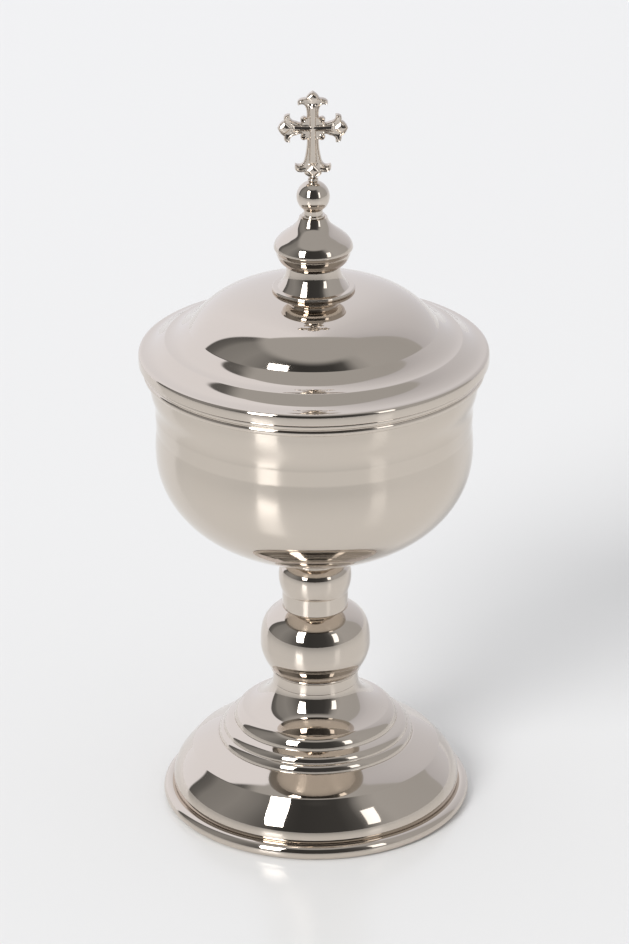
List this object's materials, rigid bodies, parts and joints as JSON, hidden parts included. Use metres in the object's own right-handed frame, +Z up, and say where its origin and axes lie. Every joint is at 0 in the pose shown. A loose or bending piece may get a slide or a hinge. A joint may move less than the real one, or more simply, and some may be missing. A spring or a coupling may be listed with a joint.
{
  "type": "covered cup on a foot",
  "caption": "Polished covered cup on a turned stem and a round stepped foot; the domed lid lifts off and carries a knob and a small cross.",
  "frame": {"origin": "on the table, under the middle of the foot", "axes": "+Z up along the axis of the cup; -Y is the side that the face of the cross looks to; +X to the right seen from there"},
  "size_m": [0.1302, 0.1302, 0.2841],
  "materials": {
    "polished": "mirror-polished nickel plate, warm pale grey",
    "satin": "nickel plate with a softer polish that blurs its reflections",
    "hardware": "plain machined steel and unpolished plate, hidden inside"
  },
  "bodies": {
    "vessel": {"foot_rim_ring": "polished", "foot": "polished", "stem_lower_collar": "polished", "knop": "polished", "stem_upper_collar": "polished", "cup_socket": "hardware", "cup": "satin", "cup_rim_ring": "polished", "tie_rod": "hardware", "foot_washer": "hardware", "tie_nut": "hardware"},
    "cover": {"lid": "polished", "lid_bezel": "satin", "knob_base_ring": "polished", "knob_cove": "polished", "knob_onion": "polished", "knob_ball": "polished", "cross_collar": "polished", "cross": "polished", "knob_bolt": "hardware", "lid_washer": "hardware", "knob_nut": "hardware"}
  },
  "joints": [
    {"name": "lid_lift", "type": "slide", "parent": "vessel", "child": "cover", "axis": [0, 0, 1], "range_m": [0, 0.12]}
  ]
}
